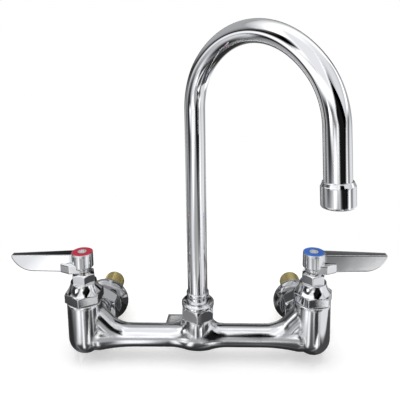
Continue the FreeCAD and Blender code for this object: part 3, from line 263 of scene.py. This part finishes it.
def chrome(name, tint, dullness, waviness, wave_scale, edge):
    """Mirror plating. Waviness is the height of its unevenness and edge the rounding of its
    corners, both in metres."""
    finish = Finish(name)
    smudges = finish.noise(scale=38.0, detail=4.0).smooth(low=0.52, high=0.78)
    swirls = finish.noise(scale=900.0, stretch=(1.0, 1.0, 3.0))
    patches = finish.noise(scale=14.0)
    cooler = tuple(value * shade for value, shade in zip(tint, COOLER))
    colour = finish.blend(patches, tint, cooler)
    rough = smudges * SMUDGE_DULLING + swirls * SWIRL_DULLING + dullness
    waves = finish.noise(wave_scale, detail=1.0)
    rounded = finish.node("ShaderNodeBevel", {"samples": EDGE_SAMPLES}, {"Radius": edge})
    normal = finish.bump(waves, waviness, after=rounded["Normal"])
    return finish.surface(Base_Color=colour, Metallic=1.0, Roughness=rough, Normal=normal)


CHROME = {
    "chrome_body": chrome(
        "polished_cast_chrome", tint=(0.86, 0.865, 0.875), dullness=0.012,
        waviness=0.00014, wave_scale=46.0, edge=0.0045),
    "chrome_tube": chrome(
        "drawn_tube_chrome", tint=(0.87, 0.875, 0.885), dullness=0.010,
        waviness=0.00003, wave_scale=30.0, edge=0.0004),
    "chrome_fittings": chrome(
        "turned_chrome", tint=(0.86, 0.865, 0.875), dullness=0.012,
        waviness=0.00003, wave_scale=60.0, edge=0.0012),
    "chrome_handle": chrome(
        "cast_handle_chrome", tint=(0.87, 0.875, 0.885), dullness=0.03,
        waviness=0.00008, wave_scale=50.0, edge=0.0015),
    # The flanges' dark tint is painted shade: it darkens the plating to stand in for shadow and
    # dark reflections.
    "chrome_flange": chrome(
        "flange_chrome_painted_shade", tint=(0.46, 0.465, 0.475), dullness=0.02,
        waviness=0.00006, wave_scale=50.0, edge=0.0010),
    "chrome_screw": chrome(
        "plated_screw", tint=(0.97, 0.975, 0.98), dullness=0.62,
        waviness=0.00003, wave_scale=90.0, edge=0.0003),
}
print("chrome finishes:", len(CHROME))

# %% [markdown]
# ## Brass
# The supply nipples are bare brass, turned on a lathe. The tool leaves fine rings around the
# axis, which is the Y axis here, and handling leaves duller, browner patches. The rings could
# be a wave texture, but a wave is too even, so they are a noise that changes along the axis
# only. Brass that has dulled a little is also a little less metallic.

# %% Brass finishes
TARNISH_DULLING, RING_DULLING, BRASS_DULLNESS = 0.08, 0.08, 0.20
RING_DEPTH = 0.00004


def brass(name, bright, dull, ring_scale):
    """Bare turned brass with rings around the Y axis."""
    finish = Finish(name)
    tarnish = finish.noise(scale=90.0, detail=5.0).smooth(low=0.45, high=0.75)
    rings = finish.noise(ring_scale, stretch=(0.02, 1.0, 0.02))
    rough = tarnish * TARNISH_DULLING + rings * RING_DULLING + BRASS_DULLNESS
    return finish.surface(Base_Color=finish.blend(tarnish, bright, dull), Metallic=0.8,
                          Roughness=rough, Normal=finish.bump(rings, RING_DEPTH))


BRASS = {
    "nipple_brass": brass("nipple_brass", bright=(1.0, 0.83, 0.36), dull=(0.92, 0.72, 0.26),
                          ring_scale=900.0),
    "bare_brass": brass("inner_brass", bright=(0.86, 0.66, 0.30), dull=(0.62, 0.44, 0.20),
                        ring_scale=700.0),
}
print("brass finishes:", len(BRASS))

# %% [markdown]
# ## Index rings, rubber, fibre and plastic
# The red and blue index rings are glossy moulded plastic: a clear coat over a colour that is a
# little uneven. The soft inner pieces are matte and speckled. Each could have a graph of its
# own, but they differ only in colour, sheen, coat and grain, so one recipe serves them all.

# %% Moulded finishes
CLOUD_SHARE, SPECK_SHARE = 0.6, 0.4
SPECK_DULLING = 0.12
COAT_DULLNESS = 0.04


def moulded(name, colour, shade, rough, coat, grain, depth):
    """Plastic, rubber or fibre: two close colours, an even sheen and a fine grain."""
    finish = Finish(name)
    cloud = finish.noise(scale=60.0, detail=3.0)
    speck = finish.noise(grain, detail=3.0, roughness=0.7)
    mottle = (cloud * CLOUD_SHARE + speck * SPECK_SHARE).smooth(low=0.3, high=0.7)
    return finish.surface(
        Base_Color=finish.blend(mottle, colour, shade), Coat_Weight=coat,
        Roughness=speck * SPECK_DULLING + rough, Coat_Roughness=COAT_DULLNESS,
        Normal=finish.bump(speck, depth))


MOULDED = {
    "index_red": moulded(
        "index_red", colour=(0.66, 0.045, 0.09), shade=(0.52, 0.03, 0.06),
        rough=0.22, coat=0.6, grain=1500.0, depth=0.00001),
    "index_blue": moulded(
        "index_blue", colour=(0.045, 0.19, 0.70), shade=(0.03, 0.13, 0.52),
        rough=0.22, coat=0.6, grain=1500.0, depth=0.00001),
    "black_rubber": moulded(
        "black_rubber", colour=(0.03, 0.03, 0.032), shade=(0.05, 0.05, 0.052),
        rough=0.6, coat=0.0, grain=2500.0, depth=0.00003),
    "white_plastic": moulded(
        "white_plastic", colour=(0.80, 0.80, 0.78), shade=(0.72, 0.72, 0.70),
        rough=0.35, coat=0.0, grain=1200.0, depth=0.00002),
    "graphite_packing": moulded(
        "graphite_packing", colour=(0.07, 0.07, 0.075), shade=(0.12, 0.12, 0.125),
        rough=0.45, coat=0.0, grain=1800.0, depth=0.00005),
    "fibre": moulded(
        "fibre", colour=(0.055, 0.05, 0.045), shade=(0.09, 0.08, 0.07),
        rough=0.7, coat=0.0, grain=2200.0, depth=0.00006),
}
print("moulded finishes:", len(MOULDED))

# %% [markdown]
# ## Dressing the CAD model
# The CAD record says which finish each piece has. The pieces could be modelled again, but
# their shapes are already right, so they keep their meshes and places, and only their material
# changes.

# %% Give every CAD node its finish
FINISHES = {**CHROME, **BRASS, **MOULDED}
slot_of = {part["node"]: part["material_slot"] for part in frame["record"]["subparts"]}
for name, piece in nodes.items():
    piece.data.materials.clear()
    piece.data.materials.append(FINISHES[slot_of[name]])
print("dressed", len(slot_of), "nodes")

# %% [markdown]
# ## A piece that follows a rule
# The gooseneck follows a rule so closely that Geometry Nodes describe it better than a
# hand-made mesh: it is one round section carried along a line. The tree is written once with
# named sizes, and the piece sets its own values. The result is turned into a plain mesh, which
# can then ride on the spout's body like any other piece.

# %% Recipe: a Geometry Nodes tree with named sizes
class Recipe(Tree):
    """A Geometry Nodes tree whose sizes are named inputs."""

    def __init__(self, name, sizes):
        self.tree = bpy.data.node_groups.new(name, "GeometryNodeTree")
        sockets = self.tree.interface
        sockets.new_socket("Geometry", in_out="OUTPUT", socket_type="NodeSocketGeometry")
        sockets.new_socket("Geometry", in_out="INPUT", socket_type="NodeSocketGeometry")
        sockets.new_socket("Material", in_out="INPUT", socket_type="NodeSocketMaterial")
        for size in sizes:
            sockets.new_socket(size, in_out="INPUT", socket_type="NodeSocketFloat")
        self.given = Outputs(self, self.tree.nodes.new("NodeGroupInput"))

    def finish(self, geometry):
        """Ends the tree: real geometry in the given material, smooth along its curves."""
        smooth = self.node("GeometryNodeSetShadeSmooth", None, {"Geometry": geometry})
        solid = self.node("GeometryNodeRealizeInstances", None, {"Geometry": smooth["Geometry"]})
        dressed = self.node("GeometryNodeSetMaterial", None, {
            "Geometry": solid["Geometry"], "Material": self.given["Material"],
        })
        self.node("NodeGroupOutput", None, {"Geometry": dressed["Geometry"]})

    def make(self, name, start, values, wall):
        """Runs the tree on a starting mesh, gives it a wall, and returns a plain piece."""
        helper = put_in_scene(bpy.data.objects.new(name + "_start", start))
        modifier = helper.modifiers.new(self.tree.name, "NODES")
        modifier.node_group = self.tree
        for item in self.tree.interface.items_tree:
            if item.in_out == "INPUT" and item.name in values:
                modifier[item.identifier] = values[item.name]
        shell = helper.modifiers.new("wall", "SOLIDIFY")
        shell.thickness, shell.offset = wall, -1.0
        seen = helper.evaluated_get(bpy.context.evaluated_depsgraph_get())
        mesh = bpy.data.meshes.new_from_object(seen)
        mesh.name = name
        bpy.data.objects.remove(helper)
        print(name, len(mesh.polygons), "faces")
        return put_in_scene(bpy.data.objects.new(name, mesh))


print("Recipe writes and runs a Geometry Nodes tree")

# %% [markdown]
# ## The gooseneck's line
# The spout is one drawn tube, bent on rollers: straight up, a tight haunch, a wider crown, a
# second haunch, and a straight leg that leans a little outward. A free curve through a few
# points would be quicker to draw, but a mirror shows every bump in it. So its line is made of
# arcs that meet with a shared tangent, and the reflections run through without a kink.

# %% Line of the gooseneck
SPOUT_AXIS = Vector((0.0, -0.060, 0.0))
SPOUT_SWING = math.radians(51.27)
SPOUT_FOOT, SPRING_HEIGHT = 0.0210, 0.2057
HALF_SPAN, ARCH_RISE, HAUNCH = 0.0714, 0.0616, 0.054
LEG_TILT, LEG_LENGTH = math.radians(3.55), 0.0413
RISER_STEPS, HAUNCH_STEPS, CROWN_STEPS, LEG_STEPS = 12, 24, 60, 6


def arc_points(centre, radius, start, stop, steps):
    """Points on an arc in the spout's upright plane, as distance outward and height."""
    turns = [start + (stop - start) * step / steps for step in range(steps + 1)]
    return [(centre[0] + radius * math.cos(turn), centre[1] + radius * math.sin(turn))
            for turn in turns]


def straight_points(start, stop, steps):
    """The points between the two ends of a straight, without the ends."""
    return [tuple(a + (b - a) * step / steps for a, b in zip(start, stop))
            for step in range(1, steps)]


def spout_points():
    """The centre line of the tube from its foot to the end of the outlet leg."""
    crown = ((HALF_SPAN ** 2 + ARCH_RISE ** 2 - 2 * HALF_SPAN * HAUNCH)
             / (2 * (ARCH_RISE - HAUNCH)))
    meeting = math.atan2(crown - ARCH_RISE, HALF_SPAN - HAUNCH)
    rising = arc_points((HAUNCH, SPRING_HEIGHT), HAUNCH, math.pi, math.pi - meeting,
                        HAUNCH_STEPS)
    over = arc_points((HALF_SPAN, SPRING_HEIGHT + ARCH_RISE - crown), crown,
                      math.pi - meeting, meeting, CROWN_STEPS)
    falling = arc_points((2 * HALF_SPAN - HAUNCH, SPRING_HEIGHT), HAUNCH, meeting, LEG_TILT,
                         HAUNCH_STEPS)
    foot = (0.0, SPOUT_FOOT)
    end = (falling[-1][0] + LEG_LENGTH * math.sin(LEG_TILT),
           falling[-1][1] - LEG_LENGTH * math.cos(LEG_TILT))
    line = [foot, *straight_points(foot, rising[0], RISER_STEPS), *rising, *over[1:],
            *falling[1:], *straight_points(falling[-1], end, LEG_STEPS), end]
    outward = Vector((math.cos(SPOUT_SWING), -math.sin(SPOUT_SWING), 0.0))
    return [SPOUT_AXIS + outward * out + Vector((0.0, 0.0, up)) for out, up in line]


spout_line = spout_points()
print("gooseneck line:", len(spout_line), "points, crown at",
      round(max(point.z for point in spout_line), 4))

# %% [markdown]
# ## The gooseneck's tube
# A circle swept along the line gives the outside of the tube, and Solidify gives it the wall
# that shows at the outlet. The CAD model has the same tube, but its facets catch the light, so
# the finer sweep takes its place and rides on the spout.

# %% Sweep the gooseneck
TUBE_RADIUS, TUBE_WALL, TUBE_SIDES = 0.0087, 0.0011, 96.0

sweep = Recipe("swept_tube", ["Radius", "Sides"])
route = sweep.node("GeometryNodeMeshToCurve", None, {"Mesh": sweep.given["Geometry"]})
ring = sweep.node("GeometryNodeCurvePrimitiveCircle", None, {
    "Resolution": sweep.given["Sides"], "Radius": sweep.given["Radius"],
})
tube = sweep.node("GeometryNodeCurveToMesh", None, {
    "Curve": route["Curve"], "Profile Curve": ring["Curve"], "Fill Caps": False,
})
sweep.finish(tube["Mesh"])

path_mesh = bpy.data.meshes.new("gooseneck_path")
path_mesh.from_pydata(spout_line, [(i, i + 1) for i in range(len(spout_line) - 1)], [])
gooseneck = sweep.make("gooseneck", path_mesh, {
    "Radius": TUBE_RADIUS, "Sides": TUBE_SIDES, "Material": CHROME["chrome_tube"],
}, wall=TUBE_WALL)
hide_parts("gooseneck_tube")
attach(gooseneck, "spout")

# %% [markdown]
# ## Studio
# A mirror shows the room, so the room is part of the finish. Photographers light chrome inside
# one large white tent and hang boards in it, and the boards draw the lines that give the metal
# its edges. A picture of a studio would do the same, but a plain world and a few boards can be
# read and changed. Here the world is the tent: white behind the tap, bright in reflections and
# gentler as a light.

# %% White tent
TENT_TONE = 1.42
ROOM_LIGHT = 0.62

world = bpy.data.worlds.new("white_tent")
bpy.context.scene.world = world
tent = Finish("tent", owner=world)
path = tent.node("ShaderNodeLightPath")
seen_direct = (path["Is Camera Ray"] + path["Is Transmission Ray"]).maths("MINIMUM", 1.0)
glare = path["Is Glossy Ray"]
strength = seen_direct + (1.0 - seen_direct) * (
    glare * TENT_TONE + (1.0 - glare) * ROOM_LIGHT)
shell = tent.node("ShaderNodeBackground", None,
                  {"Color": (1.0, 1.0, 1.0, 1.0), "Strength": strength})
tent.node("ShaderNodeOutputWorld", None, {"Surface": shell["Background"]})
bpy.context.scene.view_settings.view_transform = "Standard"
print("tent tone", TENT_TONE)

# %% [markdown]
# ## The material of a board
# A board is an even tone, dark or bright. A board with a hard edge would leave a hard line in
# the metal, and light in a tent falls off softly, so this one fades to nothing in a band along
# its rim. Its UV map is 0 at its middle and 1 where it is half gone, and tells the material how
# near the rim is.

# %% Board finish
BOARD_BLUE = 1.02


def board_finish(name, tone, soft):
    """An even tone that fades to nothing in a band along the board's edges."""
    finish = Finish(name)
    spread = finish.node("ShaderNodeUVMap", {"uv_map": "edge"})["UV"]
    parts = finish.node("ShaderNodeSeparateXYZ", None, {"Vector": spread})
    wide, tall = (1.0 - parts[side].maths("ABSOLUTE").smooth(1.0 - soft, 1.0 + soft)
                  for side in ("X", "Y"))
    clear = finish.node("ShaderNodeBsdfTransparent")["BSDF"]
    glow = finish.node("ShaderNodeEmission", None,
                       {"Color": (tone, tone, tone * BOARD_BLUE, 1.0)})["Emission"]
    return finish.end(finish.layer(wide * tall, clear, glow))


print("board finish ready")

# %% [markdown]
# ## Hanging a board
# A board could be set by its corners, but that is hard to read and to change. So each is placed
# the way a photographer speaks of it: so far round, so high, so wide, so tall, and turned in
# its own plane. Angles are in degrees. Azimuth 0 is the camera's side, 90 is to the right and
# 180 is the wall. The boards are stage pieces that only reflections see: they hide from the
# camera and throw no shadow.

# %% Board
CENTRE = Vector((0.0, -0.06, 0.12))


def heading(azimuth, elevation):
    """Unit vector of a direction from the tap."""
    round_by, up_by = math.radians(azimuth), math.radians(elevation)
    return Vector((math.sin(round_by) * math.cos(up_by), -math.cos(round_by) * math.cos(up_by),
                   math.sin(up_by)))


def board(name, azimuth, elevation, half_width, half_height, turn, soft, distance, tone):
    """A four-cornered board that faces the tap and that only reflections see."""
    middle = heading(azimuth, elevation)
    across = heading(azimuth + 90, 0)
    upward = across.cross(middle)
    swing = math.radians(turn)
    right = across * math.cos(swing) + upward * math.sin(swing)
    top = upward * math.cos(swing) - across * math.sin(swing)
    wide = right * distance * math.tan(math.radians(half_width))
    tall = top * distance * math.tan(math.radians(half_height))
    rim = 1.0 + soft
    corners = [(-rim, -rim), (rim, -rim), (rim, rim), (-rim, rim)]
    mesh = bpy.data.meshes.new(name)
    mesh.from_pydata([CENTRE + middle * distance + wide * x + tall * y for x, y in corners],
                     [], [(0, 1, 2, 3)])
    for loop, place in zip(mesh.uv_layers.new(name="edge").data, corners):
        loop.uv = place
    mesh.materials.append(board_finish(name, tone, soft))
    made = put_in_scene(bpy.data.objects.new(name, mesh))
    made.visible_camera = False
    made.visible_diffuse = False
    made.visible_shadow = False
    made.visible_transmission = False


print("boards hang around", tuple(CENTRE))

# %% [markdown]
# ## The boards
# Boards can be moved by eye, one at a time, which takes long. These were found by following the
# tap's own reflections outward and working out which tones the metal has to meet there. The
# dark ones draw the edges of the tubes and the grey underside of the casting, and the bright
# ones its white strokes.

# %% Boards that draw lines in the chrome
# Azimuth, elevation, half width, half height, turn, softness, distance in metres, tone
BOARDS = [
    (20, -33, 4, 10, -99, 0.11, 1.34, 0.06),
    (28, 16, 19, 48, 18, 0.47, 0.82, 0.01),
    (-56, 3, 7, 18, -80, 0.55, 1.05, 1.52),
    (128, 16, 54, 23, -30, 0.08, 0.43, 0.42),
    (-54, -13, 17, 20, -22, 0.09, 1.43, 0.89),
    (71, -61, 37, 13, 45, 0.24, 2.06, 0.01),
    (-54, 26, 9, 45, 77, 0.60, 0.35, 1.44),
    (-122, 9, 26, 50, -53, 0.08, 3.00, 0.03),
    (-110, -6, 59, 10, -53, 0.28, 1.07, 0.00),
    (38, -20, 8, 7, -29, 0.79, 2.74, 0.05),
    (159, 17, 13, 28, 89, 0.34, 2.73, 0.01),
    (-28, 4, 6, 17, -66, 0.77, 2.99, 0.02),
    (-21, -49, 4, 43, 18, 0.71, 0.55, 1.14),
    (167, 32, 53, 17, -4, 0.35, 0.35, 0.01),
    (-175, 53, 26, 61, 81, 0.60, 0.35, 0.43),
    (53, 38, 24, 49, 23, 0.78, 0.81, 0.83),
    (-59, 4, 20, 36, 62, 0.61, 1.05, 0.03),
    (-93, -40, 26, 30, -39, 0.78, 0.35, 0.03),
    (30, 18, 29, 25, 31, 0.24, 0.82, 0.00),
    (164, -67, 40, 51, 13, 0.57, 0.35, 0.03),
    (84, -21, 21, 34, 25, 0.37, 0.39, 0.84),
    (-125, -17, 13, 23, 22, 0.37, 0.58, 0.51),
    (-18, -55, 19, 25, 61, 0.31, 0.87, 0.09),
    (-31, -101, 56, 28, -105, 0.08, 2.43, 1.70),
    (-96, -38, 40, 24, -42, 0.78, 2.58, 1.61),
    (92, -51, 15, 25, 70, 0.08, 0.35, 0.07),
    (-171, -31, 19, 62, 29, 0.78, 0.44, 0.12),
    (-7, -23, 21, 13, -39, 0.51, 0.56, 0.41),
    (24, -25, 33, 2, 143, 0.29, 1.95, 0.95),
    (138, 2, 17, 28, -96, 0.52, 1.97, 0.00),
    (-30, 44, 41, 21, -93, 0.27, 1.08, 0.92),
    (81, 31, 27, 11, -39, 0.26, 3.00, 0.45),
    (99, -9, 34, 18, 2, 0.34, 2.07, 0.16),
    (-42, -2, 7, 2, 9, 0.08, 1.57, 0.03),
]
for number, sizes in enumerate(BOARDS, 1):
    board(f"board_{number}", *sizes)
print("boards:", len(BOARDS))

# %% [markdown]
# ## Floor
# The tap stands just over a white sheet that takes a soft shadow and a faint mirror image. A
# plain white floor would come out grey beside the white world, so the sheet adds a little light
# of its own for the camera, and it fades away around the tap so that no horizon shows.
# Reflections in the chrome pass through it to the boards below.

# %% Floor finish
SHEET_PALE, SHEET_PALER = (0.93, 0.93, 0.93), (0.95, 0.95, 0.95)
SHEET_GLOW = 0.38
SHEEN, SHEEN_CHANGE = 0.13, 0.02
SHEEN_DULLNESS, DULLNESS_CHANGE = 0.05, 0.04
SHEET_CENTRE = (0.0, -0.06, 0.0)
SHEET_SOLID, SHEET_END = 0.20, 0.34


def floor_finish():
    """A pale sheet that looks white to the camera and fades to nothing around the tap."""
    finish = Finish("white_floor")
    mottle = finish.noise(scale=6.0)
    matte = finish.node("ShaderNodeBsdfDiffuse", None,
                        {"Color": finish.blend(mottle, SHEET_PALE, SHEET_PALER)})["BSDF"]
    gloss = finish.node("ShaderNodeBsdfGlossy", None,
                        {"Roughness": mottle * DULLNESS_CHANGE + SHEEN_DULLNESS})["BSDF"]
    sheet = finish.layer(mottle * SHEEN_CHANGE + SHEEN, matte, gloss)
    seen = finish.node("ShaderNodeLightPath")["Is Camera Ray"]
    glow = finish.node("ShaderNodeEmission", None,
                       {"Color": (1.0, 1.0, 1.0, 1.0), "Strength": seen * SHEET_GLOW})
    lit = finish.node("ShaderNodeAddShader", None, {0: sheet, 1: glow["Emission"]})["Shader"]
    away = finish.node("ShaderNodeVectorMath", {"operation": "DISTANCE"},
                       {0: finish.place(), 1: SHEET_CENTRE})["Value"]
    clear = finish.node("ShaderNodeBsdfTransparent")["BSDF"]
    return finish.end(finish.layer(away.smooth(SHEET_SOLID, SHEET_END), lit, clear))


print("floor finish solid to", SHEET_SOLID, "m, gone at", SHEET_END, "m")

# %% [markdown]
# ## The sheet
# A photographer curves the sheet up behind the object to hide the horizon. Here one flat
# square is enough, because its material fades it away long before its edges. It lies just
# below the tap's lowest point, and it is a stage piece, so it never becomes part of the tap.

# %% Floor
FLOOR_HEIGHT = -0.0226
SHEET_REACH = 2.0

floor_mesh = bpy.data.meshes.new("floor")
floor_mesh.from_pydata([(x * SHEET_REACH, y * SHEET_REACH, FLOOR_HEIGHT)
                        for x, y in ((-1, -1), (1, -1), (1, 1), (-1, 1))],
                       [], [(0, 1, 2, 3)])
floor_mesh.materials.append(floor_finish())
floor = put_in_scene(bpy.data.objects.new("floor", floor_mesh))
floor.visible_glossy = False
print("floor at", FLOOR_HEIGHT, "m")

# %% [markdown]
# ## Lamp
# The tent lights every side by itself. Several lamps could help it, but each would cast its own
# shadow, so one broad lamp above and in front of the tap lays a single soft shadow under it.
# It hides from reflections, where a bright square would look like a window.

# %% Top lamp
LAMP_PLACE, LAMP_AIM = Vector((-0.15, -0.35, 1.7)), Vector((0.0, -0.06, 0.1))
LAMP_SIDE, LAMP_WATTS = 1.5, 12.0

light = bpy.data.lights.new("top_lamp", "AREA")
light.shape, light.size, light.energy = "SQUARE", LAMP_SIDE, LAMP_WATTS
lamp = put_in_scene(bpy.data.objects.new("top_lamp", light))
lamp.location = LAMP_PLACE
lamp.rotation_euler = (LAMP_AIM - LAMP_PLACE).to_track_quat("-Z", "Y").to_euler()
lamp.visible_glossy = False
print("lamp", LAMP_WATTS, "W")
